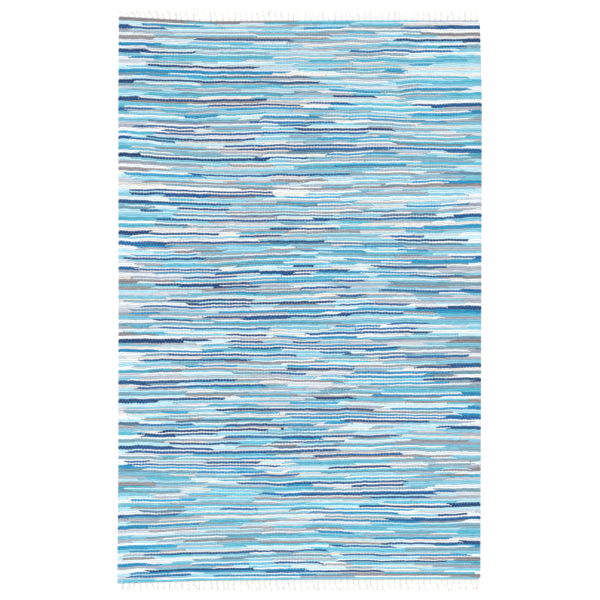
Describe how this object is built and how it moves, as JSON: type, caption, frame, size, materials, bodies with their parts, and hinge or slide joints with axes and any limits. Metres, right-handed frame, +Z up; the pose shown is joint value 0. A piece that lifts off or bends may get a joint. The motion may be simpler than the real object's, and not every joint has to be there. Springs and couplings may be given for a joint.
{
  "type": "rag rug",
  "caption": "Flat rectangular rag rug of close cross-wise cotton rag ribs in blues, whites and greys, with a knotted cotton warp fringe at both short ends.",
  "frame": {"origin": "on the floor under the middle of the rug, fringes included", "axes": "+X along the picks from selvedge to selvedge, +Y along the warp from the near end to the far end, +Z up"},
  "size_m": [1.5302, 2.4418, 0.007],
  "materials": {
    "rag_cotton": "matt woven cotton rags in random streaks of sky, turquoise, navy, white, cream and grey",
    "warp_cotton": "matt off-white plied cotton string"
  },
  "bodies": {
    "root": {"rug_cloth": "rag_cotton", "fringe_near": "warp_cotton", "fringe_far": "warp_cotton"}
  },
  "joints": []
}
